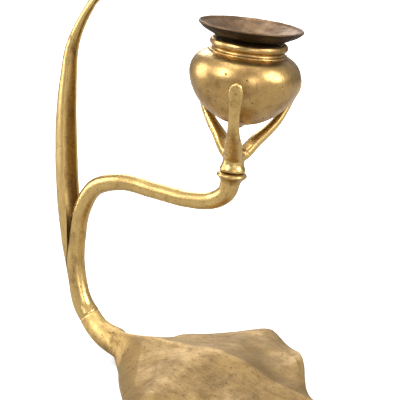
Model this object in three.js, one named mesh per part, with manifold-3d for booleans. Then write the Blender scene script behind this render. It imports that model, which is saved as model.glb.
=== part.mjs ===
// Cast bronze candle holder: a leaf foot whose stalk rises, forks into a bent arm and a tall
// channelled blade with a nodding hood, and carries an urn-shaped cup in a three-pronged claw.
// Millimetres, +Z up. +X runs from the stalk towards the leaf's tip, and Y = 0 is the leaf's midrib.
import * as THREE from "three";
import { mergeVertices } from "three/addons/utils/BufferGeometryUtils.js";
import Module from "manifold-3d";

const wasm = await Module();
wasm.setup();

// Driving dimensions
const candleDiameter = 22;
const candleClearance = 0.4;
const socketWall = 0.8;
const socketDepth = 24;
const socketFloor = 1.2;
const socketFloorChamfer = 0.8;
const panRadius = 23.2;
const panThickness = 1.1;
const panDrop = 5.2;
const panLipHeight = 0.6;
const panBandWidth = 2.2;
const panGap = 3.2;
const seatBeadHeight = 2.2;
const seatLedgeDrop = 4;
const seatLedgeOverlap = 1.4;
const slidingClearance = 0.3;
const touchGap = 0.3;

const urnRadius = 24.8;
const urnWall = 1.6;
const lipRadius = 17.3;
const lipHeight = 16.4;
const lipBead = 1.9;
const neckRadius = 15.9;
const neckHeight = 11.6;
const shoulderRadius = 18.6;
const shoulderHeight = 10.3;
const urnDepth = 23.4;
const dropRadius = 3.2;
const dropLength = 3.4;

const clawHeight = 43.5;
const clawLean = 6.9;
const clawLeanAside = 2.3;
const clawTurn = -4;
const clawProngs = 3;
const clawBulbRadius = 5.9;
const clawWaistRadius = 4.6;
const clawHubHeight = 13;
const prongWidth = 4.9;
const prongTipWidth = 6.4;
const prongRootWidth = 8.2;
const prongThickness = 2.4;
const prongRootThickness = 5.4;
const prongTopRise = 1.5;
const collarRadius = 6.9;
const collarHeight = 3.2;
const seamGap = 0.3;
const studRadius = 2.4;
const studReach = 9;
const studClearance = 0.3;

const armRadius = 4.1;
const stemRadius = 4.4;
const stemFootRadius = 5.4;
const stalkRadius = 6.6;
const jointHeight = 20;
const jointBack = 21.5;
const stemBack = 29.4;
const forkHeight = 73.4;
const archHeight = 90.2;
const armDipHeight = 87.1;
const armReach = 62.8;
const seamHeight = 102.8;
const dowelRadius = 2;
const dowelReach = 9;
const brazeGap = 0.3;

const bladeWall = 1.1;
const bladeTop = 175;
const bladeFootHeight = 33;
const bladeWidestHalf = stemRadius + touchGap + bladeWall;
const bladeNeckHalf = 2.5;
const hoodLength = 40;
const hoodHalfWidth = 10.5;
const hoodRise = 21;

const leafLength = 121;
const leafHalfWidth = 55;
const leafWall = 2.4;
const leafRimRadius = 0.9;
const leafRidge = 15.4;
const leafLobeLift = 4;
const leafShoulderLift = 3;
const leafFarLift = 8.6;
const leafGutter = 2.2;
const leafFloorSkim = 1.4;

// Facet counts
const turnSteps = 44;
const tubeSides = 16;
const stemSteps = 44;
const bladeSteps = 38;
const bladeSides = 10;
const prongSteps = 12;
const prongSides = 10;
const leafSteps = 42;
const leafAcross = 24;

const vector = (x, y, z) => new THREE.Vector3(x, y, z);
const mix = THREE.MathUtils.lerp;
const radians = THREE.MathUtils.degToRad;
const smooth = (value, from, to) => THREE.MathUtils.smoothstep(value, from, to);

// A smooth value along a list of [place, value] pairs.
function along(pairs) {
  const curve = new THREE.SplineCurve(pairs.map(([x, y]) => new THREE.Vector2(x, y)));
  const samples = curve.getPoints(pairs.length * 12);
  return (place) => {
    if (place <= samples[0].x) return samples[0].y;
    const next = samples.findIndex((point) => point.x >= place);
    if (next < 0) return samples.at(-1).y;
    const [before, after] = [samples[next - 1], samples[next]];
    const span = Math.max(after.x - before.x, 1e-9);
    return mix(before.y, after.y, (place - before.x) / span);
  };
}

// A closed skin over rings of points that all have the same even count. Points j and count - j
// face each other across the ring, so the end caps are strips, and a bent ring closes as well.
function loft(rings) {
  const count = rings[0].length;
  const index = [];
  for (let ring = 0; ring < rings.length - 1; ring++) {
    for (let j = 0; j < count; j++) {
      const next = (j + 1) % count;
      const [a, b] = [ring * count + j, ring * count + next];
      index.push(a, b, b + count, a, b + count, a + count);
    }
  }
  for (const [first, flip] of [[0, true], [(rings.length - 1) * count, false]]) {
    for (let j = 0; j < count / 2; j++) {
      const corners = [j, j + 1, count - j - 1, (count - j) % count].map((k) => first + k);
      for (const [a, b, c] of [[0, 1, 2], [0, 2, 3]]) {
        const triangle = [corners[a], corners[b], corners[c]];
        if (new Set(triangle).size < 3) continue;
        index.push(...(flip ? triangle.reverse() : triangle));
      }
    }
  }
  const geometry = new THREE.BufferGeometry().setFromPoints(rings.flat());
  geometry.setIndex(index);
  return geometry;
}

// three.js geometry to a solid, its faces turned outwards, and back.
function solid(geometry) {
  const bare = geometry.clone();
  bare.deleteAttribute("normal");
  bare.deleteAttribute("uv");
  const merged = mergeVertices(bare, 1e-4);
  const triVerts = new Uint32Array(merged.index.array);
  const build = () =>
    new wasm.Manifold(
      new wasm.Mesh({ numProp: 3, vertProperties: merged.attributes.position.array, triVerts }),
    );
  let made = build();
  if (made.volume() < 0) {
    triVerts.reverse();
    made = build();
  }
  return made;
}

function geometryOf(made) {
  const mesh = made.getMesh();
  const geometry = new THREE.BufferGeometry();
  geometry.setAttribute("position", new THREE.BufferAttribute(mesh.vertProperties, 3));
  geometry.setIndex(new THREE.BufferAttribute(mesh.triVerts, 1));
  return geometry;
}

const turned = (profile) =>
  new THREE.LatheGeometry(profile.map(([r, z]) => new THREE.Vector2(r, z)), turnSteps).rotateX(Math.PI / 2);

function rod(radius, length) {
  return new THREE.CylinderGeometry(radius, radius, length, tubeSides).rotateX(Math.PI / 2);
}

// The claw's own axis: upright at first, then leant out and a little aside, at the arm's end.
const clawFrame = new THREE.Matrix4()
  .makeTranslation(armReach, 0, seamHeight)
  .multiply(new THREE.Matrix4().makeRotationX(-radians(clawLeanAside)))
  .multiply(new THREE.Matrix4().makeRotationY(radians(clawLean)));
const onClawAxis = (height) => vector(0, 0, height).applyMatrix4(clawFrame);

// The stem's centreline: up from the leaf's stalk, over the arch, along the arm, up to the collar.
const stemPath = new THREE.CatmullRomCurve3([
  vector(-jointBack, 0, jointHeight),
  vector(-jointBack - 3.4, 0, jointHeight + 4.4),
  vector(-stemBack + 2, 0, mix(jointHeight, forkHeight, 0.2)),
  vector(-stemBack, 0, mix(jointHeight, forkHeight, 0.47)),
  vector(-stemBack + 1, 0, mix(jointHeight, forkHeight, 0.74)),
  vector(-stemBack + 4.5, 0, forkHeight),
  vector(-stemBack + 13, 0, mix(forkHeight, archHeight, 0.7)),
  vector(-stemBack + 30, 0, archHeight),
  vector(mix(0, armReach, 0.3), 0, mix(archHeight, armDipHeight, 0.45)),
  vector(mix(0, armReach, 0.62), 0, armDipHeight),
  vector(armReach - 10.3, 0, armDipHeight + 1.4),
  vector(armReach - 3, 0, mix(armDipHeight, seamHeight, 0.38)),
  onClawAxis(-collarHeight),
], false, "centripetal");

const stemThickness = along([
  [0, stemFootRadius],
  [0.12, stemRadius + 0.2],
  [0.3, stemRadius],
  [0.45, mix(stemRadius, armRadius, 0.6)],
  [0.6, armRadius],
  [0.9, armRadius],
  [1, armRadius + 0.6],
]);

// A ring round a point of a path in the XZ plane: side runs along Y, and out across the path.
function ringAt(point, out, across, up, sides) {
  return Array.from({ length: sides }, (_, j) => {
    const turn = (2 * Math.PI * j) / sides;
    return point.clone().addScaledVector(out, up * Math.cos(turn)).add(vector(0, across * Math.sin(turn), 0));
  });
}

function acrossPath(tangent) {
  return vector(tangent.z, 0, -tangent.x).normalize();
}

function buildStem() {
  const rings = [];
  for (let step = 0; step <= stemSteps; step++) {
    const share = step / stemSteps;
    const radius = stemThickness(share);
    rings.push(ringAt(stemPath.getPointAt(share), acrossPath(stemPath.getTangentAt(share)), radius, radius, tubeSides));
  }
  const collar = turned([
    [0, -collarHeight - 3],
    [armRadius, -collarHeight - 3],
    [armRadius + 1, -collarHeight - 0.4],
    [collarRadius - 0.9, -collarHeight + 1],
    [collarRadius, -collarHeight + 2],
    [collarRadius - 0.5, -0.4],
    [collarRadius - 1.1, 0],
    [0, 0],
  ]).applyMatrix4(clawFrame);
  const studHole = rod(studRadius + studClearance, 2 * (studReach / 2 + touchGap)).applyMatrix4(clawFrame);
  const dowelHole = rod(dowelRadius + brazeGap, dowelReach + 2 * brazeGap).applyMatrix4(dowelFrame);
  return geometryOf(
    solid(loft(rings)).add(solid(collar)).subtract(solid(studHole)).subtract(solid(dowelHole)),
  );
}

// The dowel lies across the joint between the leaf's stalk and the stem, half in each.
const jointTangent = stemPath.getTangentAt(0);
const dowelFrame = new THREE.Matrix4()
  .makeTranslation(-jointBack, 0, jointHeight)
  .multiply(new THREE.Matrix4().makeRotationY(Math.atan2(jointTangent.x, jointTangent.z)));

const buildDowel = () => rod(dowelRadius, dowelReach).applyMatrix4(dowelFrame);

// The leaf: half widths along its length, and how far its rim runs ahead of the midrib.
const leafWidth = along([
  [0, stalkRadius + 1.4],
  [7, 14],
  [16, 25],
  [26, 36],
  [36, 46],
  [44, 53],
  [50, leafHalfWidth],
  [56, leafHalfWidth - 3],
  [68, 43],
  [78, 36],
  [86, 27],
  [92, 18],
  [98, 10.5],
  [106, 5.5],
  [leafLength, 1.4],
]);
const leafMidrib = along([
  [-jointBack, jointHeight],
  [-17.5, jointHeight - 4.6],
  [-12, jointHeight - 8.2],
  [-4, jointHeight - 10.8],
  [0, leafRidge - 7],
  [12, leafRidge - 7.4],
  [60, 6],
  [leafLength, 1.6],
]);
const leafCrest = along([
  [0, leafRidge],
  [14, leafRidge],
  [30, leafRidge + 1],
  [50, leafRidge + 1.8],
  [64, leafRidge],
  [78, leafRidge - 4],
  [94, 6],
  [leafLength, 2.6],
]);

// Both rims stand on the floor near the stalk and at the tip. Between them the far one curls up.
function leafRimHeight(x, share) {
  const lobe = Math.exp(-(((x - 50) / 11) ** 2));
  const shoulder = Math.exp(-(((x - 82) / 7) ** 2));
  const curl = share > 0 ? smooth(x, 9, 21) * (1 - smooth(x, leafLength - 40, leafLength - 16)) : 0;
  const bumps = leafLobeLift * lobe + leafShoulderLift * shoulder;
  return leafWall - leafFloorSkim + leafFarLift * curl + bumps * (1 - 0.5 * curl);
}

function leafTop(x, share) {
  const away = Math.abs(share);
  const body = mix(leafCrest(x), leafRimHeight(x, share), away ** 1.5);
  const tail = 1 - smooth(x, leafLength - 45, leafLength - 22);
  const gutter = leafGutter * Math.sin(Math.PI * Math.min(1, away * 1.25)) * smooth(x, 5, 40) * tail;
  return Math.max(body - gutter, leafWall - leafFloorSkim);
}

function leafRing(step) {
  const span = leafLength + jointBack;
  const x = -jointBack + span * (step / leafSteps);
  const open = smooth(x, -6, 8);
  const flare = smooth(x, -jointBack, -2);
  const half = x < 0 ? mix(stemFootRadius, stalkRadius + 1.4, flare) : leafWidth(x);
  const radius = mix(stemFootRadius, stalkRadius, flare);
  const slope = leafMidrib(x + 0.5) - leafMidrib(x - 0.5);
  const out = vector(-slope, 0, 1).normalize().lerp(vector(0, 0, 1), smooth(x, -12, 0)).normalize();
  const centre = vector(x, 0, leafMidrib(x));
  const top = [];
  const bottom = [];
  for (let j = 0; j <= leafAcross; j++) {
    const turn = Math.PI * (j / leafAcross) - Math.PI / 2;
    const round = Math.sin(turn);
    const even = 2 * (j / leafAcross) - 1;
    const share = mix(round, Math.sign(even) * Math.abs(even) ** 0.85, open * 0.8);
    const y = half * share;
    const tube = radius * Math.cos(turn);
    const edge = Math.min(1, (half * (1 - Math.abs(share))) / leafRimRadius);
    const thick = (leafWall / 2) * Math.sqrt(1 - (1 - edge) ** 2);
    const middle = leafTop(Math.max(x, 0), share) - leafWall / 2;
    const flatTop = Math.max(middle + thick, 0);
    const flatBottom = Math.max(middle - thick, 0);
    top.push(centre.clone().addScaledVector(out, tube).lerp(vector(x, 0, flatTop), open).setY(y));
    bottom.push(centre.clone().addScaledVector(out, -tube).lerp(vector(x, 0, flatBottom), open).setY(y));
  }
  return [...top, ...bottom.slice(1, -1).reverse()];
}

function buildLeaf() {
  const rings = Array.from({ length: leafSteps + 1 }, (_, step) => leafRing(step));
  const dowelHole = rod(dowelRadius + brazeGap, dowelReach + 2 * brazeGap).applyMatrix4(dowelFrame);
  const stemClearance = new THREE.BoxGeometry(20, 20, 10)
    .translate(0, 0, 5 - brazeGap)
    .applyMatrix4(dowelFrame);
  return geometryOf(solid(loft(rings)).subtract(solid(dowelHole)).subtract(solid(stemClearance)));
}

// The blade's back line: close behind the stem at its foot, then standing off it, and over the hood.
const behindStem = (share) => {
  const point = stemPath.getPointAt(share);
  return point.add(vector(-stemThickness(share) - touchGap - bladeWall, 0, 0));
};
const hoodRoot = vector(-18, 0, bladeTop);
const bladePath = new THREE.CatmullRomCurve3([
  behindStem(0.075),
  behindStem(0.15),
  vector(-stemBack - 8.3, 0, mix(bladeFootHeight, bladeTop, 0.2)),
  vector(-stemBack - 10.1, 0, mix(bladeFootHeight, bladeTop, 0.33)),
  vector(-stemBack - 10.5, 0, mix(bladeFootHeight, bladeTop, 0.47)),
  vector(-stemBack - 9.6, 0, mix(bladeFootHeight, bladeTop, 0.6)),
  vector(-stemBack - 6.6, 0, mix(bladeFootHeight, bladeTop, 0.73)),
  vector(-stemBack - 1.8, 0, mix(bladeFootHeight, bladeTop, 0.86)),
  hoodRoot,
  vector(hoodRoot.x + hoodLength * 0.24, 0, bladeTop + hoodRise * 0.5),
  vector(hoodRoot.x + hoodLength * 0.5, 0, bladeTop + hoodRise * 0.9),
  vector(hoodRoot.x + hoodLength * 0.78, 0, bladeTop + hoodRise * 0.95),
  vector(hoodRoot.x + hoodLength, 0, bladeTop + hoodRise * 0.62),
], false, "centripetal");

const bladeHalfWidth = along([
  [0, 0.7],
  [0.08, 3],
  [0.17, bladeWidestHalf],
  [0.42, bladeWidestHalf - 0.3],
  [0.6, 4],
  [0.72, bladeNeckHalf],
  [0.77, bladeNeckHalf],
  [0.88, hoodHalfWidth],
  [0.95, hoodHalfWidth * 0.6],
  [1, 0.7],
]);
const bladeDepth = along([
  [0, 1.2],
  [0.08, 3.2],
  [0.2, 7.6],
  [0.42, 7.6],
  [0.6, 4.4],
  [0.74, 3],
  [0.88, 6],
  [1, 1.3],
]);

function bladeRing(share) {
  const back = bladePath.getPointAt(share);
  const inward = acrossPath(bladePath.getTangentAt(share));
  const half = bladeHalfWidth(share);
  const depth = bladeDepth(share);
  const wall = Math.min(bladeWall, half * 0.6, depth * 0.6);
  const at = (deep, aside) => back.clone().addScaledVector(inward, deep).setY(aside);
  const outer = [];
  const inner = [];
  for (let j = 0; j <= bladeSides; j++) {
    const turn = Math.PI * (j / bladeSides - 0.5);
    outer.push(at(depth * (1 - Math.cos(turn)), half * Math.sin(turn)));
    inner.push(at(wall + (depth - wall) * (1 - Math.cos(turn)), (half - wall) * Math.sin(turn)));
  }
  const tip = (side) => at(depth + wall * 0.4, side * (half - wall / 2));
  return [tip(-1), ...outer, tip(1), ...inner.reverse()];
}

function buildBlade() {
  const rings = Array.from({ length: bladeSteps + 1 }, (_, step) => bladeRing(step / bladeSteps));
  const room = [];
  for (let step = 0; step <= stemSteps; step++) {
    const share = (step / stemSteps) * 0.7;
    const radius = stemThickness(share) + touchGap;
    room.push(ringAt(stemPath.getPointAt(share), acrossPath(stemPath.getTangentAt(share)), radius, radius, tubeSides));
  }
  return geometryOf(solid(loft(rings)).subtract(solid(loft(room))));
}

// Heights on the urn are counted from its widest circle, which sits clawHeight above the seam.
const urnFrame = clawFrame.clone().multiply(new THREE.Matrix4().makeTranslation(0, 0, clawHeight));
const seatRadius = neckRadius - 1.4;
const ledgeHeight = lipHeight - seatLedgeDrop;
const ledgeRadius = seatRadius - seatLedgeOverlap;

const urnOutside = (grow = 0) => [
  [0, -urnDepth - grow],
  [1.6, -urnDepth + 0.8 - grow],
  [dropRadius - 0.4 + grow, -urnDepth + 1.8 - grow],
  [dropRadius + 2.3 + grow, -urnDepth + dropLength - 0.6 - grow],
  [urnRadius * 0.39 + grow, -urnDepth * 0.82 - grow],
  [urnRadius * 0.52 + grow, -urnDepth * 0.75 - grow],
  [urnRadius * 0.67 + grow, -urnDepth * 0.64 - grow],
  [urnRadius * 0.77 + grow, -urnDepth * 0.53 - grow],
  [urnRadius * 0.85 + grow, -urnDepth * 0.42],
  [urnRadius * 0.915 + grow, -urnDepth * 0.3],
  [urnRadius * 0.96 + grow, -urnDepth * 0.19],
  [urnRadius * 0.99 + grow, -urnDepth * 0.07],
  [urnRadius + grow, 1],
  [urnRadius * 0.99 + grow, shoulderHeight * 0.34],
  [urnRadius * 0.95 + grow, shoulderHeight * 0.58],
  [urnRadius * 0.875 + grow, shoulderHeight * 0.82],
];

const buildUrn = () =>
  turned([
    ...urnOutside(),
    [shoulderRadius, shoulderHeight],
    [neckRadius + 0.9, neckHeight - 0.5],
    [neckRadius, neckHeight],
    [neckRadius + 0.3, neckHeight + 0.8],
    [lipRadius - 0.3, lipHeight - 3.1],
    [lipRadius, lipHeight - lipBead],
    [lipRadius - 0.3, lipHeight - 0.7],
    [lipRadius - 1.2, lipHeight],
    [seatRadius + 0.5, lipHeight - 0.2],
    [seatRadius, lipHeight - 0.8],
    [seatRadius, ledgeHeight],
    [ledgeRadius, ledgeHeight],
    [ledgeRadius, ledgeHeight - 1.4],
    [urnRadius * 0.82 - urnWall, shoulderHeight * 0.78],
    [urnRadius * 0.97 - urnWall, shoulderHeight * 0.4],
    [urnRadius - urnWall, 0],
    [urnRadius * 0.96 - urnWall, -urnDepth * 0.19],
    [urnRadius * 0.85 - urnWall, -urnDepth * 0.42 + 0.6],
    [urnRadius * 0.67 - urnWall, -urnDepth * 0.62 + urnWall],
    [urnRadius * 0.39 - urnWall, -urnDepth * 0.82 + urnWall + 0.8],
    [0, -urnDepth + 4.6],
  ]).applyMatrix4(urnFrame);

// Drip pan and candle socket: the tube hangs in the urn by its bead and carries the pan.
const socketBore = candleDiameter / 2 + candleClearance;
const socketRadius = socketBore + socketWall;
const panRim = lipHeight + panGap + panDrop - 1.8;
const throatHeight = panRim - panDrop;
const beadHeight = ledgeHeight + touchGap;
const socketBottom = throatHeight - socketDepth;

const buildSocket = () =>
  turned([
    [0, socketBottom],
    [socketRadius - 1, socketBottom],
    [socketRadius, socketBottom + 1],
    [socketRadius, beadHeight],
    [seatRadius - slidingClearance - 0.5, beadHeight],
    [seatRadius - slidingClearance, beadHeight + 0.5],
    [seatRadius - slidingClearance, beadHeight + seatBeadHeight - 0.5],
    [seatRadius - slidingClearance - 0.5, beadHeight + seatBeadHeight],
    [socketRadius, beadHeight + seatBeadHeight],
    [socketRadius, throatHeight],
    [socketBore, throatHeight],
    [socketBore, socketBottom + socketFloor + socketFloorChamfer],
    [socketBore - socketFloorChamfer, socketBottom + socketFloor],
    [0, socketBottom + socketFloor],
  ]).applyMatrix4(urnFrame);

function buildPan() {
  const throat = socketRadius + brazeGap;
  const bandStart = panRadius - panBandWidth;
  const profile = [
    [throat, throatHeight - panThickness],
    [mix(throat, bandStart, 0.35), mix(throatHeight, panRim, 0.34) - panThickness],
    [bandStart, mix(throatHeight, panRim, 0.68) - panThickness],
    [panRadius - 0.5, panRim - panThickness],
    [panRadius, panRim - 0.4],
    [panRadius - 0.3, panRim],
    [panRadius - 0.9, panRim],
    [bandStart + 0.3, panRim - panLipHeight - 0.4],
    [mix(throat, bandStart, 0.5), mix(throatHeight, panRim, 0.5)],
    [throat, throatHeight + 0.2],
  ];
  return turned([...profile, profile[0]]).applyMatrix4(urnFrame);
}

// Claw: a turned hub, and prongs that spread to the urn's widest circle.
const prongPath = new THREE.CatmullRomCurve3([
  vector(1.5, 0, 6.5),
  vector(5.2, 0, 9.6),
  vector(urnRadius * 0.385, 0, clawHeight * 0.335),
  vector(urnRadius * 0.59, 0, clawHeight * 0.45),
  vector(urnRadius * 0.75, 0, clawHeight * 0.56),
  vector(urnRadius * 0.865, 0, clawHeight * 0.68),
  vector(urnRadius * 0.98 + 0.2, 0, clawHeight * 0.84),
  vector(urnRadius * 0.99 + touchGap + prongThickness / 2, 0, clawHeight * 0.9),
  vector(urnRadius + touchGap + prongThickness / 2, 0, clawHeight + prongTopRise),
], false, "centripetal");
const prongHalfWidth = along([
  [0, prongRootWidth / 2],
  [0.2, prongRootWidth / 2],
  [0.42, prongWidth / 2 + 0.3],
  [0.68, prongWidth / 2],
  [0.9, prongTipWidth / 2],
  [0.97, prongTipWidth / 2 - 0.5],
  [1, 0.9],
]);
const prongHalfThickness = along([
  [0, prongRootThickness / 2],
  [0.25, prongRootThickness / 2],
  [0.55, prongThickness / 2 + 0.7],
  [0.8, prongThickness / 2 + 0.2],
  [1, prongThickness / 2],
]);

function buildClaw() {
  const hub = turned([
    [0, seamGap],
    [clawBulbRadius - 0.2, seamGap],
    [clawBulbRadius, seamGap + 1],
    [clawBulbRadius - 0.4, 2.6],
    [clawWaistRadius + 0.4, 4.4],
    [clawWaistRadius + 0.3, 6.2],
    [clawWaistRadius + 0.8, 8.6],
    [clawWaistRadius - 1, clawHubHeight - 2],
    [0, clawHubHeight - 1],
  ]);
  let made = solid(hub);
  for (let prong = 0; prong < clawProngs; prong++) {
    const rings = [];
    for (let step = 0; step <= prongSteps; step++) {
      const share = step / prongSteps;
      const out = acrossPath(prongPath.getTangentAt(share));
      rings.push(ringAt(prongPath.getPointAt(share), out, prongHalfWidth(share), prongHalfThickness(share), prongSides));
    }
    const turn = Math.PI + radians(clawTurn) + (2 * Math.PI * prong) / clawProngs;
    made = made.add(solid(loft(rings).rotateZ(turn)));
  }
  const urnRoom = turned([...urnOutside(touchGap), [0, shoulderHeight]]).translate(0, 0, clawHeight);
  const studHole = rod(studRadius + studClearance, 2 * (studReach / 2 + touchGap));
  made = made.subtract(solid(urnRoom)).subtract(solid(studHole));
  return geometryOf(made).applyMatrix4(clawFrame);
}

const buildStud = () => rod(studRadius, studReach).applyMatrix4(clawFrame);

const part = new THREE.Group();
function addPiece(name, geometry, color, roughness) {
  const material = new THREE.MeshStandardMaterial({ color, roughness, metalness: 1 });
  const mesh = new THREE.Mesh(geometry, material);
  mesh.name = name;
  part.add(mesh);
}

addPiece("leaf_base", buildLeaf(), 0x9c7c46, 0.45);
addPiece("stem_dowel", buildDowel(), 0xa8844a, 0.5);
addPiece("stem_arm", buildStem(), 0xb08a48, 0.35);
addPiece("cobra_blade", buildBlade(), 0xb08a48, 0.35);
addPiece("claw_stud", buildStud(), 0xa8844a, 0.5);
addPiece("claw_holder", buildClaw(), 0xac8748, 0.35);
addPiece("candle_cup", buildUrn(), 0xa5803f, 0.4);
addPiece("candle_socket", buildSocket(), 0x8a6a3c, 0.5);
addPiece("drip_pan", buildPan(), 0x866848, 0.55);

// The origin is under the middle of the whole, on the surface that it stands on.
const whole = new THREE.Box3().setFromObject(part);
part.position.set(-(whole.min.x + whole.max.x) / 2, -(whole.min.y + whole.max.y) / 2, -whole.min.z);

export default part;
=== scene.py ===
"""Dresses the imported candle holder: fine meshes for its cast and turned pieces, and worn gilt bronze.

Lengths in the tables below are millimetres in the part's own layout, where x = 0 is the place at
which the leaf's stalk meets its blade. The whole is moved by SHIFT to the frame's origin.
"""

import math

import bmesh
import bpy
import numpy as np
from mathutils import Matrix, Vector, noise


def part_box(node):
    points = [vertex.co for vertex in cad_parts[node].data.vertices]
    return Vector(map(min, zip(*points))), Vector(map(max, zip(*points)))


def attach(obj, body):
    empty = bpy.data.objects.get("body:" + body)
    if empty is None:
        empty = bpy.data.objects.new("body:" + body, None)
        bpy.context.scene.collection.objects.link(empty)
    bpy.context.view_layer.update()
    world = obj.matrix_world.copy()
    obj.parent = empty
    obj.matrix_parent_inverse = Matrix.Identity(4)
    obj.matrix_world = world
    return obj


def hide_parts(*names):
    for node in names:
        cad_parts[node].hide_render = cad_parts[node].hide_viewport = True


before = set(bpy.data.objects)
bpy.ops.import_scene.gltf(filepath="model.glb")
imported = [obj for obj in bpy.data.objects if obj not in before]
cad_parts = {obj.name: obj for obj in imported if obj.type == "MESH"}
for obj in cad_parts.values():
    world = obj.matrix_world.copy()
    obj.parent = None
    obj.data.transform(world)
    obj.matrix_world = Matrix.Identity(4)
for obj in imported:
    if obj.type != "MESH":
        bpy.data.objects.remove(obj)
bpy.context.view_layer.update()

MM = 0.001
FIXED = "candlestick"
LOOSE = "bobeche"
LEAF_LENGTH = 121
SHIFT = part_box("leaf_base")[1].x - LEAF_LENGTH * MM
PLACE = Matrix.Translation((SHIFT, 0, 0)) @ Matrix.Scale(MM, 4)

# The claw's axis leans out and a little aside at the arm's end, and the cup sits on it.
CLAW_FRAME = (
    Matrix.Translation((62.8, 0, 102.8))
    @ Matrix.Rotation(math.radians(-2.3), 4, "X")
    @ Matrix.Rotation(math.radians(6.9), 4, "Y")
)
CLAW_HEIGHT = 43.5
URN_FRAME = CLAW_FRAME @ Matrix.Translation((0, 0, CLAW_HEIGHT))
TOUCH_GAP = 0.3


# Curves

def clamp_step(value, low, high):
    share = min(1.0, max(0.0, (value - low) / (high - low)))
    return share * share * (3 - 2 * share)


def mix(a, b, share):
    return a + (b - a) * share


def hermite(p0, p1, m0, m1, t):
    return (
        p0 * (2 * t**3 - 3 * t**2 + 1)
        + m0 * (t**3 - 2 * t**2 + t)
        + p1 * (3 * t**2 - 2 * t**3)
        + m1 * (t**3 - t**2)
    )


def smooth_line(points, fine=24):
    """Points of a centripetal curve through the given ones."""
    p = np.array(points, float)
    p = np.vstack([2 * p[0] - p[1], p, 2 * p[-1] - p[-2]])
    steps = np.sqrt(np.linalg.norm(np.diff(p, axis=0), axis=1))
    line = []
    for i in range(1, len(p) - 2):
        before, here, after = steps[i - 1], steps[i], steps[i + 1]
        chord = (p[i + 1] - p[i]) / here
        m0 = (p[i] - p[i - 1]) / before - (p[i + 1] - p[i - 1]) / (before + here) + chord
        m1 = chord - (p[i + 2] - p[i]) / (here + after) + (p[i + 2] - p[i + 1]) / after
        for k in range(fine):
            line.append(hermite(p[i], p[i + 1], m0 * here, m1 * here, k / fine))
    line.append(p[-2])
    return np.array(line)


def spaced(line, shares):
    """Points at shares of a line's length, with unit tangents."""
    lengths = np.concatenate([[0], np.cumsum(np.linalg.norm(np.diff(line, axis=0), axis=1))])
    lengths /= lengths[-1]
    at = lambda s: np.array([np.interp(s, lengths, line[:, k]) for k in range(line.shape[1])])
    result = []
    for s in shares:
        tangent = at(min(1, s + 0.004)) - at(max(0, s - 0.004))
        result.append((at(s), tangent / np.linalg.norm(tangent)))
    return result


def along(pairs):
    """A smooth value along a list of (place, value) pairs."""
    p = np.array(pairs, float)
    samples = []
    last = len(p) - 1
    for i in range(last):
        p0, p3 = p[max(0, i - 1)], p[min(last, i + 2)]
        for k in range(12):
            m0 = (p[i + 1] - p0) / 2
            m1 = (p3 - p[i]) / 2
            samples.append(hermite(p[i], p[i + 1], m0, m1, k / 12))
    samples.append(p[-1])
    samples = np.array(samples)
    return lambda place: float(np.interp(place, samples[:, 0], samples[:, 1]))


# Mesh helpers

def add_object(name, bm, matrix=PLACE):
    bmesh.ops.remove_doubles(bm, verts=bm.verts, dist=1e-4)
    bmesh.ops.recalc_face_normals(bm, faces=bm.faces)
    bm.transform(matrix)
    mesh = bpy.data.meshes.new(name)
    bm.to_mesh(mesh)
    bm.free()
    mesh.shade_smooth()
    obj = bpy.data.objects.new(name, mesh)
    bpy.context.collection.objects.link(obj)
    return obj


def skin(rings):
    """A closed bmesh over rings of points that all have the same count."""
    bm = bmesh.new()
    verts = [[bm.verts.new(p) for p in ring] for ring in rings]
    count = len(rings[0])
    for low, high in zip(verts, verts[1:]):
        for j in range(count):
            k = (j + 1) % count
            bm.faces.new((low[j], low[k], high[k], high[j]))
    half = count // 2
    for ring in (verts[0], verts[-1]):
        for j in range(half):
            corners = [ring[j], ring[j + 1], ring[count - j - 1], ring[(count - j) % count]]
            corners = list(dict.fromkeys(corners))
            if len(corners) > 2:
                bm.faces.new(corners)
    return bm


def turned(name, runs, matrix, sides=144, fine=6):
    """A body turned from runs of (radius, height) points: smooth within a run, sharp between runs."""
    line = []
    for run in runs:
        line.extend(smooth_line(run, fine) if len(run) > 2 else np.array(run, float))
    bm = bmesh.new()
    verts = [bm.verts.new((max(0.0, r), 0, z)) for r, z in line]
    edges = [bm.edges.new(pair) for pair in zip(verts, verts[1:])]
    bmesh.ops.spin(
        bm, geom=verts + edges, cent=(0, 0, 0), axis=(0, 0, 1), angle=2 * math.pi, steps=sides, use_duplicate=False
    )
    bmesh.ops.remove_doubles(bm, verts=bm.verts, dist=1e-4)
    bmesh.ops.dissolve_degenerate(bm, edges=bm.edges, dist=1e-5)
    return add_object(name, bm, PLACE @ matrix)


def settle(obj):
    """Bakes the object's modifiers into its mesh."""
    graph = bpy.context.evaluated_depsgraph_get()
    mesh = bpy.data.meshes.new_from_object(obj.evaluated_get(graph))
    obj.modifiers.clear()
    obj.data = mesh
    mesh.shade_smooth()
    return obj


def boolean(obj, other, operation):
    """Joins other to obj or cuts it out of obj, and removes other."""
    modifier = obj.modifiers.new("boolean", "BOOLEAN")
    modifier.operation = operation
    modifier.solver = "EXACT"
    modifier.object = other
    settle(obj)
    bpy.data.objects.remove(other)
    return obj


def roughen(obj, height, scale, seed=0.0):
    """Moves vertices in or out by up to height mm, in soft lumps about scale mm across."""
    mesh = obj.data
    offset = Vector((seed, seed * 1.7, -seed))
    normals = [v.normal.copy() for v in mesh.vertices]
    for vertex, normal in zip(mesh.vertices, normals):
        place = vertex.co / (scale * MM) + offset
        vertex.co += normal * noise.noise(place) * height * MM
    mesh.update()


def sharpen(obj, degrees=40):
    """Creases the shading where two faces meet at a sharp angle."""
    bm = bmesh.new()
    bm.from_mesh(obj.data)
    limit = math.radians(degrees)
    for edge in bm.edges:
        edge.smooth = len(edge.link_faces) != 2 or edge.calc_face_angle(0) < limit
    bm.to_mesh(obj.data)
    bm.free()


# The stem's centreline, and what is built round it

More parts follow.
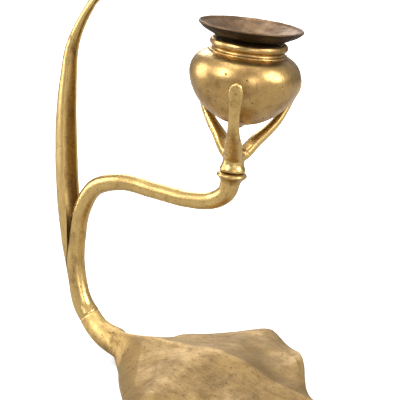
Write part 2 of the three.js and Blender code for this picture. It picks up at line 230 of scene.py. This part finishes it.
STEM_LINE = smooth_line([
    (-21.5, 0, 20), (-24.9, 0, 24.4), (-27.4, 0, 30.7), (-29.4, 0, 45.1), (-28.4, 0, 59.5), (-24.9, 0, 73.4),
    (-16.4, 0, 85.2), (0.6, 0, 90.2), (18.8, 0, 88.8), (38.9, 0, 87.1), (52.5, 0, 88.5),
    (59.8, 0, 93.1), tuple(CLAW_FRAME @ Vector((0, 0, -3.2))),
])
stem_radius = along([(0, 5.4), (0.12, 4.6), (0.3, 4.4), (0.45, 4.2), (0.6, 4.1), (0.9, 4.1), (1, 4.7)])


def across_path(tangent):
    return Vector((tangent[2], 0, -tangent[0])).normalized()


def ring_at(point, out, aside, up, sides, shape=None):
    """An oval ring: aside is its half size along Y, and up its half size along out."""
    ring = []
    for j in range(sides):
        turn = 2 * math.pi * j / sides
        lift = up * math.cos(turn)
        if shape:
            lift = shape(turn, lift)
        ring.append(Vector(point) + out * lift + Vector((0, aside * math.sin(turn), 0)))
    return ring


def stem_rings(grow, last, count, sides, softened):
    rings = []
    shares = [last * k / count for k in range(count + 1)]
    for share, (point, tangent) in zip(shares, spaced(STEM_LINE, shares)):
        radius = stem_radius(share) + grow
        if softened:
            radius -= 0.22 * (1 - clamp_step(share, 0, 0.003))
        rings.append(ring_at(point, across_path(tangent), radius, radius, sides))
    return rings


def build_stem():
    stem = add_object("stem_arm_cast", skin(stem_rings(0, 1, 420, 40, True)))
    collar = turned("stem_collar", [
        [(0, -6.4), (3.4, -6.4)],
        [(3.4, -6.4), (4.1, -5.6), (4.7, -4.4), (5.3, -3.3), (6.2, -2.5), (6.8, -1.85), (6.9, -1.2), (6.5, -0.5),
         (5.8, -0.1), (5.2, 0)],
        [(5.2, 0), (0, 0)],
    ], CLAW_FRAME)
    boolean(stem, collar, "UNION")
    roughen(stem, 0.12, 9, 3.1)
    sharpen(stem, 50)
    return stem


# The blade: a long channelled leaf behind the stem, with a nodding hood

BLADE_TOP = 175
BLADE_FOOT = 33
HOOD_ROOT = -18
HOOD_LENGTH = 40
HOOD_RISE = 21


def blade_line():
    points = []
    for share in (0.075, 0.15):
        place, _ = spaced(STEM_LINE, [share])[0]
        points.append((place[0] - stem_radius(share) - TOUCH_GAP - 1.1, 0, place[2]))
    for back, share in ((37.7, 0.2), (39.5, 0.33), (39.9, 0.47), (39, 0.6), (36, 0.73), (31.2, 0.86)):
        points.append((-back, 0, mix(BLADE_FOOT, BLADE_TOP, share)))
    for ahead, rise in ((0, 0), (0.24, 0.5), (0.5, 0.9), (0.78, 0.95), (1, 0.62)):
        points.append((HOOD_ROOT + HOOD_LENGTH * ahead, 0, BLADE_TOP + HOOD_RISE * rise))
    return smooth_line(points)


blade_half = along([
    (0, 0.7), (0.08, 3), (0.17, 5.8), (0.42, 5.5), (0.6, 4), (0.72, 2.5), (0.77, 2.5), (0.88, 10.5),
    (0.95, 6.3), (1, 0.7),
])
blade_depth = along([
    (0, 1.2), (0.08, 3.2), (0.2, 7.6), (0.42, 7.6), (0.6, 4.4), (0.74, 3), (0.88, 6), (1, 1.3),
])


def blade_ring(share, back, tangent, sides=22):
    inward = across_path(tangent)
    half = blade_half(share)
    depth = blade_depth(share)
    wall = min(1.1, half * 0.6, depth * 0.6)
    spine = 0.35 * clamp_step(share, 0.1, 0.2)
    at = lambda deep, aside: Vector(back) + inward * deep + Vector((0, aside, 0))
    outer, inner = [], []
    for j in range(sides + 1):
        turn = math.pi * (j / sides - 0.5)
        keel = spine * math.exp(-((turn / 0.22) ** 2))
        outer.append(at(depth * (1 - math.cos(turn)) - keel, half * math.sin(turn)))
        inner.append(at(wall + (depth - wall) * (1 - math.cos(turn)), (half - wall) * math.sin(turn)))
    tip = lambda side: at(depth + wall * 0.5, side * (half - wall / 2))
    return [tip(-1), *outer, tip(1), *reversed(inner)]


def build_blade():
    shares = [k / 300 for k in range(301)]
    rings = [blade_ring(s, p, t) for s, (p, t) in zip(shares, spaced(blade_line(), shares))]
    blade = add_object("cobra_blade_cast", skin(rings))
    room = add_object("stem_room", skin(stem_rings(TOUCH_GAP, 0.7, 200, 40, False)))
    boolean(blade, room, "DIFFERENCE")
    roughen(blade, 0.14, 11, 8.4)
    sharpen(blade, 50)
    return blade


# The leaf

leaf_half = along([
    (0, 8), (7, 14), (16, 25), (26, 36), (36, 46), (44, 53), (50, 55), (56, 52), (68, 43), (78, 36),
    (86, 27), (92, 18), (98, 10.5), (106, 5.5), (LEAF_LENGTH, 1.4),
])
leaf_midrib = along([
    (-21.5, 20), (-17.5, 15.4), (-12, 11.8), (-4, 9.2), (0, 8.4), (12, 8), (60, 6), (LEAF_LENGTH, 1.6),
])
leaf_crest = along([
    (0, 15.4), (14, 15.4), (30, 16.4), (50, 17.2), (64, 15.4), (78, 11.4), (94, 6), (LEAF_LENGTH, 2.6),
])
LEAF_LOW = 1.0
LEAF_WALL = 2.4
STALK_END = -21.5
JOINT_OUT = Vector((0.79, 0, 0.61)).normalized()


def leaf_top(x, y, share):
    away = abs(share)
    lobe = 4 * math.exp(-(((x - 50) / 11) ** 2))
    shoulder = 3 * math.exp(-(((x - 82) / 7) ** 2))
    curl = clamp_step(x, 9, 21) * (1 - clamp_step(x, 81, 105)) if share > 0 else 0
    rim = LEAF_LOW + 8.6 * curl + (lobe + shoulder) * (1 - 0.5 * curl)
    body = mix(leaf_crest(x), rim, away**1.5)
    tail = 1 - clamp_step(x, 76, 99)
    opened = clamp_step(x, 5, 40) * tail
    body -= 2.2 * math.sin(math.pi * min(1, away * 1.25)) * opened
    inside = clamp_step(1 - away, 0.02, 0.2)
    lumps = noise.noise(Vector((x / 17, y / 15, 1.3))) * 1.3 + noise.noise(Vector((x / 7, y / 7, 4.1))) * 0.35
    vein = 0.35 * math.exp(-((y / 1.1) ** 2)) * clamp_step(x, 8, 20)
    slant = (x - 0.62 * abs(y)) / 11.5
    side = 0.16 * math.exp(-(((slant - round(slant)) * 11.5 / 0.8) ** 2)) * clamp_step(abs(y), 1, 5)
    return max(body + (lumps + vein + side) * inside * clamp_step(x, 4, 16), LEAF_LOW)


def leaf_ring(x, across=60):
    opened = clamp_step(x, -6, 8)
    on_stalk = clamp_step(x, STALK_END, -2)
    half = leaf_half(x) if x >= 0 else mix(5.4, 8, on_stalk)
    radius = mix(5.4, 6.6, on_stalk)
    if x < STALK_END + 0.4:
        chamfer = 0.22 * (1 - (x - STALK_END) / 0.4)
        half -= chamfer
        radius -= chamfer
    slope = leaf_midrib(x + 0.5) - leaf_midrib(x - 0.5)
    out = Vector((-slope, 0, 1)).normalized().lerp(Vector((0, 0, 1)), clamp_step(x, -12, 0)).normalized()
    out = JOINT_OUT.lerp(out, clamp_step(x, STALK_END, -12)).normalized()
    centre = Vector((x, 0, leaf_midrib(x)))
    if x < -12:
        centre += Vector((0.05, 0, -0.06)) * (1 - clamp_step(x, STALK_END, -12))
    top, bottom = [], []
    for j in range(across + 1):
        turn = math.pi * j / across - math.pi / 2
        even = 2 * j / across - 1
        share = mix(math.sin(turn), math.copysign(abs(even) ** 0.85, even), opened * 0.8)
        y = half * share
        tube = radius * math.cos(turn)
        edge = min(1, half * (1 - abs(share)) / 0.9)
        thick = LEAF_WALL / 2 * math.sqrt(max(0, 1 - (1 - edge) ** 2))
        middle = leaf_top(max(x, 0), y, share) - LEAF_WALL / 2
        for side, line in ((1, top), (-1, bottom)):
            flat = Vector((x, 0, max(middle + side * thick, 0)))
            point = (centre + out * tube * side).lerp(flat, opened)
            line.append(Vector((point.x, y, point.z)))
    return top + list(reversed(bottom[1:-1]))


def build_leaf():
    span = LEAF_LENGTH - STALK_END
    places = [STALK_END, STALK_END + 0.2, STALK_END + 0.4, STALK_END + 0.8]
    places += [STALK_END + 1.2 + (span - 1.2) * k / 210 for k in range(211)]
    leaf = add_object("leaf_base_cast", skin([leaf_ring(x) for x in places]))
    sharpen(leaf, 55)
    return leaf


# The claw

PRONG_LINE = smooth_line([
    (1.5, 0, 6.5), (5.2, 0, 9.6), (9.3, 0, 14.6), (14.6, 0, 19.6), (18.6, 0, 24.4), (21.5, 0, 29.6),
    (24.5, 0, 36.5), (25.75, 0, 39.2), (26.3, 0, 45),
])
prong_half = along([
    (0, 4.1), (0.2, 4.1), (0.42, 2.9), (0.68, 2.45), (0.88, 3.2), (0.95, 2.9), (0.985, 1.9), (1, 0.6),
])
prong_thick = along([(0, 2.9), (0.25, 2.7), (0.55, 1.9), (0.8, 1.4), (0.97, 1.2), (1, 0.8)])


def urn_outside(grow=0.0):
    return [
        (0, -23.4 - grow), (1.6, -22.7 - grow), (2.8 + grow, -21.6 - grow), (5.5 + grow, -20.6 - grow),
        (9.4 + grow, -19.2 - grow), (12.6 + grow, -17.5 - grow), (16.2 + grow, -15 - grow),
        (18.9 + grow, -12.4 - grow), (21 + grow, -9.8), (22.6 + grow, -7), (23.7 + grow, -4.4),
        (24.5 + grow, -1.6), (24.8 + grow, 1), (24.5 + grow, 3.5), (23.5 + grow, 6), (21.6 + grow, 8.4),
    ]


def build_claw():
    claw = turned("claw_cast", [
        [(0, 0.3), (5.3, 0.3)],
        [(5.3, 0.3), (5.8, 0.7), (5.9, 1.4), (5.5, 2.6), (5.05, 3.7), (4.9, 5), (4.95, 6.4), (5.4, 8.6),
         (4.6, 10.6), (2.4, 11.8), (0, 12)],
    ], CLAW_FRAME, sides=72)
    shares = [k / 90 for k in range(91)]
    spots = spaced(PRONG_LINE, shares)
    for prong in range(3):
        rings = []
        for share, (point, tangent) in zip(shares, spots):
            dish = 0.4 * clamp_step(share, 0.72, 0.85) * (1 - clamp_step(share, 0.95, 0.99))
            shape = lambda turn, lift, dish=dish: lift - dish * max(0, math.cos(turn)) ** 6
            rings.append(ring_at(point, across_path(tangent), prong_half(share), prong_thick(share), 36, shape))
        spin = Matrix.Rotation(math.pi + math.radians(-4) + prong * math.tau / 3, 4, "Z")
        arm = add_object("prong", skin(rings), PLACE @ CLAW_FRAME @ spin)
        boolean(claw, arm, "UNION")
    remesh = claw.modifiers.new("remesh", "REMESH")
    remesh.mode = "VOXEL"
    remesh.voxel_size = 0.3 * MM
    soften = claw.modifiers.new("soften", "SMOOTH")
    soften.factor = 0.5
    soften.iterations = 4
    settle(claw)
    room = turned("urn_room", [urn_outside(TOUCH_GAP), [(21.9, 8.4), (0, 8.4)]], URN_FRAME, sides=96)
    boolean(claw, room, "DIFFERENCE")
    roughen(claw, 0.08, 5, 5.2)
    sharpen(claw, 55)
    return claw


# The cup, the socket and the pan

def build_cup():
    cup = turned("candle_cup_cast", [
        [*urn_outside(), (18.6, 10.3), (17.5, 10.6)],
        [(17.5, 10.6), (17.55, 11), (17.2, 11.4), (16.6, 11.5), (16.1, 11.6)],
        [(16.1, 11.6), (15.9, 12), (15.95, 12.5), (16.3, 12.9)],
        [(16.3, 12.9), (16.95, 13.4), (17.3, 14.5), (17, 15.6), (16.1, 16.35), (15.1, 16.3), (14.5, 15.6)],
        [(14.5, 15.6), (14.5, 12.4)],
        [(14.5, 12.4), (13.1, 12.4)],
        [(13.1, 12.4), (13.1, 11)],
        [(13.1, 11), (18.2, 8), (21.9, 4.1), (22.6, 0), (21.6, -4.4), (19, -9.2), (14.6, -12.9), (7.8, -16.8),
         (0, -18.8)],
    ], URN_FRAME, sides=192)
    roughen(cup, 0.07, 7, 1.9)
    sharpen(cup, 38)
    return cup


def build_socket():
    socket = turned("candle_socket_tube", [
        [(0, -6.2), (11.2, -6.2)],
        [(11.2, -6.2), (11.9, -5.9), (12.2, -5.2)],
        [(12.2, -5.2), (12.2, 12.7)],
        [(12.2, 12.7), (13.7, 12.7)],
        [(13.7, 12.7), (14.1, 12.9), (14.2, 13.8), (14.1, 14.7), (13.7, 14.9)],
        [(13.7, 14.9), (12.2, 14.9)],
        [(12.2, 14.9), (12.2, 17.5)],
        [(12.2, 17.5), (12.05, 17.75), (11.7, 17.8)],
        [(11.7, 17.8), (11.4, 17.6), (11.4, 17)],
        [(11.4, 17), (11.4, -4.2)],
        [(11.4, -4.2), (10.6, -5)],
        [(10.6, -5), (0, -5)],
    ], URN_FRAME, sides=128)
    sharpen(socket, 30)
    return socket


def build_pan():
    pan = turned("drip_pan_sheet", [
        [(12.5, 16.7), (15.4, 17.5), (18.2, 18.8), (21, 20.3), (22.7, 21.7), (23.15, 22.2), (23.2, 22.7),
         (22.9, 23.05), (22.5, 23), (22.1, 22.7), (21.6, 22.2), (21.2, 21.95)],
        [(21.2, 21.95), (20.6, 21.75), (18, 20.6), (15.2, 19.1), (12.9, 18.25), (12.5, 17.9)],
        [(12.5, 17.9), (12.5, 16.7)],
    ], URN_FRAME, sides=220)
    roughen(pan, 0.16, 5, 6.6)
    roughen(pan, 0.1, 1.8, 2.6)
    sharpen(pan, 45)
    return pan


# Materials

def put(tree, kind, **values):
    """A node of that kind. Its settings are set, and its input sockets get a value or a link."""
    node = tree.nodes.new(kind)
    for key, value in values.items():
        if hasattr(node, key):
            setattr(node, key, value)
            continue
        socket = node.inputs[int(key[1:])] if key[0] == "i" and key[1:].isdigit() else node.inputs[key]
        if isinstance(value, bpy.types.NodeSocket):
            tree.links.new(value, socket)
        else:
            socket.default_value = value
    return node


def maths(tree, operation, a, b=0.0, c=0.0, clamp=False):
    node = put(tree, "ShaderNodeMath", operation=operation, use_clamp=clamp, i0=a, i1=b)
    if operation == "MULTIPLY_ADD":
        if isinstance(c, bpy.types.NodeSocket):
            tree.links.new(c, node.inputs[2])
        else:
            node.inputs[2].default_value = c
    return node.outputs[0]


def spread(tree, value, low, high, to_low=0.0, to_high=1.0):
    """The value mapped from one range to another, and held at its ends."""
    node = put(tree, "ShaderNodeMapRange", clamp=True, i0=value, i1=low, i2=high, i3=to_low, i4=to_high)
    return node.outputs[0]


def tint(tree, factor, a, b):
    node = put(tree, "ShaderNodeMix", data_type="RGBA", clamp_factor=True, i0=factor, i6=a, i7=b)
    return node.outputs[2]


def cloud(tree, place, scale, detail=4.0, roughness=0.6, distortion=0.0):
    node = put(
        tree, "ShaderNodeTexNoise", Vector=place, Scale=scale, Detail=detail, Roughness=roughness,
        Distortion=distortion,
    )
    return node.outputs[0]


def patina_group():
    """Worn gilt bronze: gilding, a brown patina over it, streaks, dark specks, pits and bright edges."""
    group = bpy.data.node_groups.new("Worn gilding", "ShaderNodeTree")
    face = group.interface
    for name, default in (
        ("Gold", (0.55, 0.36, 0.12, 1)),
        ("Brown", (0.2, 0.12, 0.05, 1)),
        ("Dark", (0.05, 0.03, 0.015, 1)),
    ):
        face.new_socket(name, in_out="INPUT", socket_type="NodeSocketColor").default_value = default
    for name, default in (
        ("Cover", 0.4), ("Streaks", 0.3), ("Specks", 0.4), ("Pits", 0.3), ("Wear", 0.5), ("Gloss", 0.35),
        ("Relief", 0.3),
    ):
        face.new_socket(name, in_out="INPUT", socket_type="NodeSocketFloat").default_value = default
    for name, kind in (("Color", "NodeSocketColor"), ("Roughness", "NodeSocketFloat"), ("Normal", "NodeSocketVector")):
        face.new_socket(name, in_out="OUTPUT", socket_type=kind)
    entry = group.nodes.new("NodeGroupInput")
    leave = group.nodes.new("NodeGroupOutput")
    place = put(group, "ShaderNodeTexCoord").outputs["Object"]
    value = entry.outputs

    broad = cloud(group, place, 55, 5, 0.62, 0.4)
    middle = cloud(group, place, 210, 6, 0.68)
    fine = cloud(group, place, 1300, 3, 0.6)
    grain = cloud(group, place, 3600, 2, 0.5)
    stretched = put(group, "ShaderNodeMapping", Vector=place, Scale=(260, 620, 90)).outputs[0]
    streak = cloud(group, stretched, 1, 5, 0.62, 0.3)

    patch = maths(group, "MULTIPLY_ADD", middle, 0.45, maths(group, "MULTIPLY", broad, 0.55))
    reach = maths(group, "SUBTRACT", 0.86, maths(group, "MULTIPLY", value["Cover"], 0.72))
    top = maths(group, "ADD", reach, 0.2)
    brown = spread(group, patch, reach, top)
    lines = maths(group, "MULTIPLY", spread(group, streak, 0.5, 0.68), value["Streaks"])
    brown = maths(group, "ADD", brown, lines, clamp=True)
    point = put(group, "ShaderNodeNewGeometry").outputs["Pointiness"]
    edge = spread(group, point, 0.505, 0.56)
    worn = maths(group, "MULTIPLY", edge, value["Wear"])
    brown = maths(group, "SUBTRACT", brown, worn, clamp=True)
    hollow = maths(group, "MULTIPLY", spread(group, point, 0.495, 0.45), 0.6)
    brown = maths(group, "ADD", brown, hollow, clamp=True)

    speck = maths(group, "MULTIPLY", spread(group, fine, 0.6, 0.7), value["Specks"])
    cells = put(group, "ShaderNodeTexVoronoi", Vector=place, Scale=330.0, Randomness=1.0)
    rare = spread(group, put(group, "ShaderNodeSeparateColor", i0=cells.outputs["Color"]).outputs[0], 0.55, 0.6)
    pit = maths(group, "MULTIPLY", spread(group, cells.outputs["Distance"], 0.2, 0.1), rare)
    pit = maths(group, "MULTIPLY", pit, value["Pits"])
    dark = maths(group, "MAXIMUM", speck, pit)

    color = tint(group, brown, value["Gold"], value["Brown"])
    shade = spread(group, middle, 0.3, 0.7, 0.86, 1.12)
    shaded = put(group, "ShaderNodeVectorMath", operation="SCALE", i0=color, Scale=shade).outputs[0]
    color = tint(group, dark, shaded, value["Dark"])
    rough = maths(group, "MULTIPLY_ADD", brown, 0.16, value["Gloss"])
    rough = maths(group, "MULTIPLY_ADD", spread(group, fine, 0.35, 0.65), 0.07, rough)
    rough = maths(group, "MULTIPLY_ADD", dark, 0.25, rough)

    height = maths(group, "MULTIPLY", middle, 0.5)
    height = maths(group, "MULTIPLY_ADD", fine, 0.3, height)
    height = maths(group, "MULTIPLY_ADD", grain, 0.12, height)
    height = maths(group, "MULTIPLY_ADD", pit, -1.2, height)
    bump = put(group, "ShaderNodeBump", Strength=value["Relief"], Distance=0.0006, Height=height)
    group.links.new(color, leave.inputs["Color"])
    group.links.new(rough, leave.inputs["Roughness"])
    group.links.new(bump.outputs[0], leave.inputs["Normal"])
    return group


PATINA = patina_group()


def bronze(name, gold, brown, **amounts):
    """A material of worn gilding with its own colours and amounts."""
    material = bpy.data.materials.new(name)
    material.use_nodes = True
    tree = material.node_tree
    shader = tree.nodes["Principled BSDF"]
    shader.inputs["Metallic"].default_value = 1.0
    worn = tree.nodes.new("ShaderNodeGroup")
    worn.node_tree = PATINA
    worn.inputs["Gold"].default_value = (*gold, 1)
    worn.inputs["Brown"].default_value = (*brown, 1)
    for key, value in amounts.items():
        worn.inputs[key.capitalize()].default_value = value
    tree.links.new(worn.outputs["Color"], shader.inputs["Base Color"])
    tree.links.new(worn.outputs["Roughness"], shader.inputs["Roughness"])
    tree.links.new(worn.outputs["Normal"], shader.inputs["Normal"])
    return material


GOLD = (0.57, 0.395, 0.15)
DEEP_GOLD = (0.47, 0.305, 0.115)
BROWN = (0.2, 0.115, 0.042)

def golden_stalk(material):
    """Brings the leaf's colours over to the stem's towards the joint."""
    tree = material.node_tree
    worn = next(node for node in tree.nodes if node.type == "GROUP")
    place = put(tree, "ShaderNodeTexCoord").outputs["Object"]
    parts = put(tree, "ShaderNodeSeparateXYZ", Vector=place).outputs
    wander = maths(tree, "MULTIPLY_ADD", cloud(tree, place, 90, 3), 0.012, parts["X"])
    near = spread(tree, wander, SHIFT - 0.008, SHIFT + 0.014, 1, 0)
    for name, stem_color in (("Gold", GOLD), ("Brown", BROWN)):
        own = tuple(worn.inputs[name].default_value)
        tree.links.new(tint(tree, near, own, (*stem_color, 1)), worn.inputs[name])
    cover = worn.inputs["Cover"].default_value
    tree.links.new(maths(tree, "MULTIPLY_ADD", near, 0.5 - cover, cover), worn.inputs["Cover"])


stem_bronze = bronze("stem_bronze", GOLD, BROWN, cover=0.5, streaks=0.35, specks=0.6, pits=0.5, gloss=0.26)
blade_bronze = bronze("blade_bronze", GOLD, BROWN, cover=0.5, streaks=0.45, specks=0.6, pits=0.5, gloss=0.28)
leaf_bronze = bronze(
    "leaf_bronze", (0.31, 0.207, 0.085), (0.185, 0.118, 0.05), cover=0.56, streaks=0.5, specks=0.7, pits=0.6, gloss=0.46,
)
def painted_underside_shade(material, dark):
    """Darkens the faces that look down with painted shade, towards the given dark colour."""
    tree = material.node_tree
    worn = next(node for node in tree.nodes if node.type == "GROUP")
    facing = put(tree, "ShaderNodeSeparateXYZ", Vector=put(tree, "ShaderNodeNewGeometry").outputs["Normal"]).outputs["Z"]
    underside_shade = spread(tree, facing, 0.05, -0.35)
    for name in ("Gold", "Brown"):
        own = tuple(worn.inputs[name].default_value)
        tree.links.new(tint(tree, underside_shade, own, (*dark, 1)), worn.inputs[name])


golden_stalk(leaf_bronze)
claw_bronze = bronze("claw_bronze", GOLD, BROWN, cover=0.5, streaks=0.25, specks=0.6, pits=0.6, gloss=0.25)
cup_bronze = bronze("cup_bronze", DEEP_GOLD, BROWN, cover=0.55, streaks=0.25, specks=0.5, pits=0.7, gloss=0.26)
pan_bronze = bronze(
    "pan_bronze", (0.22, 0.138, 0.072), (0.09, 0.053, 0.03), cover=0.66, streaks=0.3, specks=0.8, pits=0.6, gloss=0.42,
)
# The socket's near-black colours are painted shade for the tube in the dark gap under the pan.
socket_shade_painted_bronze = bronze(
    "socket_shade_painted_bronze", (0.03, 0.017, 0.008), (0.014, 0.008, 0.005), cover=0.7, streaks=0.3, specks=0.6, pits=0.3, gloss=0.5,
)
# Painted shade under the pan: its faces that look down are darkened.
painted_underside_shade(pan_bronze, (0.035, 0.021, 0.011))
fixing_bronze = bronze("fixing_bronze", GOLD, BROWN, cover=0.3, streaks=0.1, specks=0.3, pits=0.1, gloss=0.4)


def dress(obj, material, body, node):
    obj.data.materials.clear()
    obj.data.materials.append(material)
    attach(obj, body)
    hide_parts(node)


dress(build_leaf(), leaf_bronze, FIXED, "leaf_base")
dress(build_stem(), stem_bronze, FIXED, "stem_arm")
dress(build_blade(), blade_bronze, FIXED, "cobra_blade")
dress(build_claw(), claw_bronze, FIXED, "claw_holder")
dress(build_cup(), cup_bronze, FIXED, "candle_cup")
dress(build_socket(), socket_shade_painted_bronze, LOOSE, "candle_socket")
dress(build_pan(), pan_bronze, LOOSE, "drip_pan")
for node in ("stem_dowel", "claw_stud"):
    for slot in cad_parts[node].material_slots:
        slot.material = fixing_bronze

# Floor, light and camera

def pale(name, color, bounce, glow):
    """A pale matt floor. The camera sees it brighter than it lights the object, most so far from it."""
    material = bpy.data.materials.new(name)
    material.use_nodes = True
    tree = material.node_tree
    shader = tree.nodes["Principled BSDF"]
    shader.inputs["Roughness"].default_value = 0.9
    shader.inputs["Specular IOR Level"].default_value = 0.1
    seen = put(tree, "ShaderNodeLightPath").outputs["Is Camera Ray"]
    tree.links.new(tint(tree, seen, (*bounce, 1), (*color, 1)), shader.inputs["Base Color"])
    away = put(tree, "ShaderNodeVectorMath", operation="LENGTH", i0=put(tree, "ShaderNodeTexCoord").outputs["Object"])
    glow = spread(tree, away.outputs["Value"], 0.2, 1.2, *glow)
    light = put(tree, "ShaderNodeEmission", Color=(1, 1, 1, 1), Strength=maths(tree, "MULTIPLY", seen, glow))
    both = put(tree, "ShaderNodeAddShader", i0=shader.outputs[0], i1=light.outputs[0])
    tree.links.new(both.outputs[0], tree.nodes["Material Output"].inputs["Surface"])
    return material


bm = bmesh.new()
bmesh.ops.create_grid(bm, x_segments=1, y_segments=1, size=4)
floor = add_object("floor", bm, Matrix.Identity(4))
floor.data.materials.append(pale("floor_white", (0.86, 0.86, 0.86), (0.36, 0.35, 0.34), (0.1, 0.95)))


def softbox(name, place, target, size, power, color=(1, 1, 1)):
    light = bpy.data.lights.new(name, "AREA")
    light.shape = "RECTANGLE"
    light.size, light.size_y = size
    light.energy = power
    light.color = color
    obj = bpy.data.objects.new(name, light)
    obj.location = place
    obj.rotation_euler = (Vector(target) - Vector(place)).to_track_quat("-Z", "Y").to_euler()
    bpy.context.collection.objects.link(obj)


MIDDLE = (0, 0, 0.1)
softbox("key", (-0.25, -0.95, 0.75), MIDDLE, (0.45, 0.65), 11)
softbox("side", (1.0, 0.15, 0.55), MIDDLE, (0.4, 0.6), 11)
softbox("front", (0.95, -0.75, 0.3), MIDDLE, (0.4, 0.6), 3.5)
softbox("back", (-0.7, 0.75, 0.8), MIDDLE, (0.6, 0.6), 7)
softbox("left", (-1.1, -0.45, 0.45), MIDDLE, (0.5, 0.9), 8)
softbox("above", (0.05, -0.05, 1.3), MIDDLE, (0.9, 0.9), 10)

world = bpy.data.worlds.new("studio")
bpy.context.scene.world = world
world.use_nodes = True
tree = world.node_tree
background = tree.nodes["Background"]
seen = put(tree, "ShaderNodeLightPath").outputs["Is Camera Ray"]
height = put(tree, "ShaderNodeSeparateXYZ", Vector=put(tree, "ShaderNodeTexCoord").outputs["Generated"]).outputs["Z"]
room = spread(tree, height, -0.3, 0.9, 0.2, 0.85)
strength = put(tree, "ShaderNodeMix", data_type="FLOAT", i0=seen, i2=room, i3=1.0).outputs[0]
tree.links.new(strength, background.inputs["Strength"])
background.inputs["Color"].default_value = (1, 1, 1, 1)

camera_data = bpy.data.cameras.new("photo_camera")
camera_data.lens = 127.2
camera_data.sensor_width = 36
camera_data.clip_start = 0.05
camera = bpy.data.objects.new("photo_camera", camera_data)
camera.location = (0.4059 + SHIFT, -0.5151, 0.2366)
camera.rotation_euler = (math.radians(90 - 13.34), 0, math.radians(35))
bpy.context.collection.objects.link(camera)
bpy.context.scene.camera = camera
bpy.context.scene.view_settings.view_transform = "Standard"
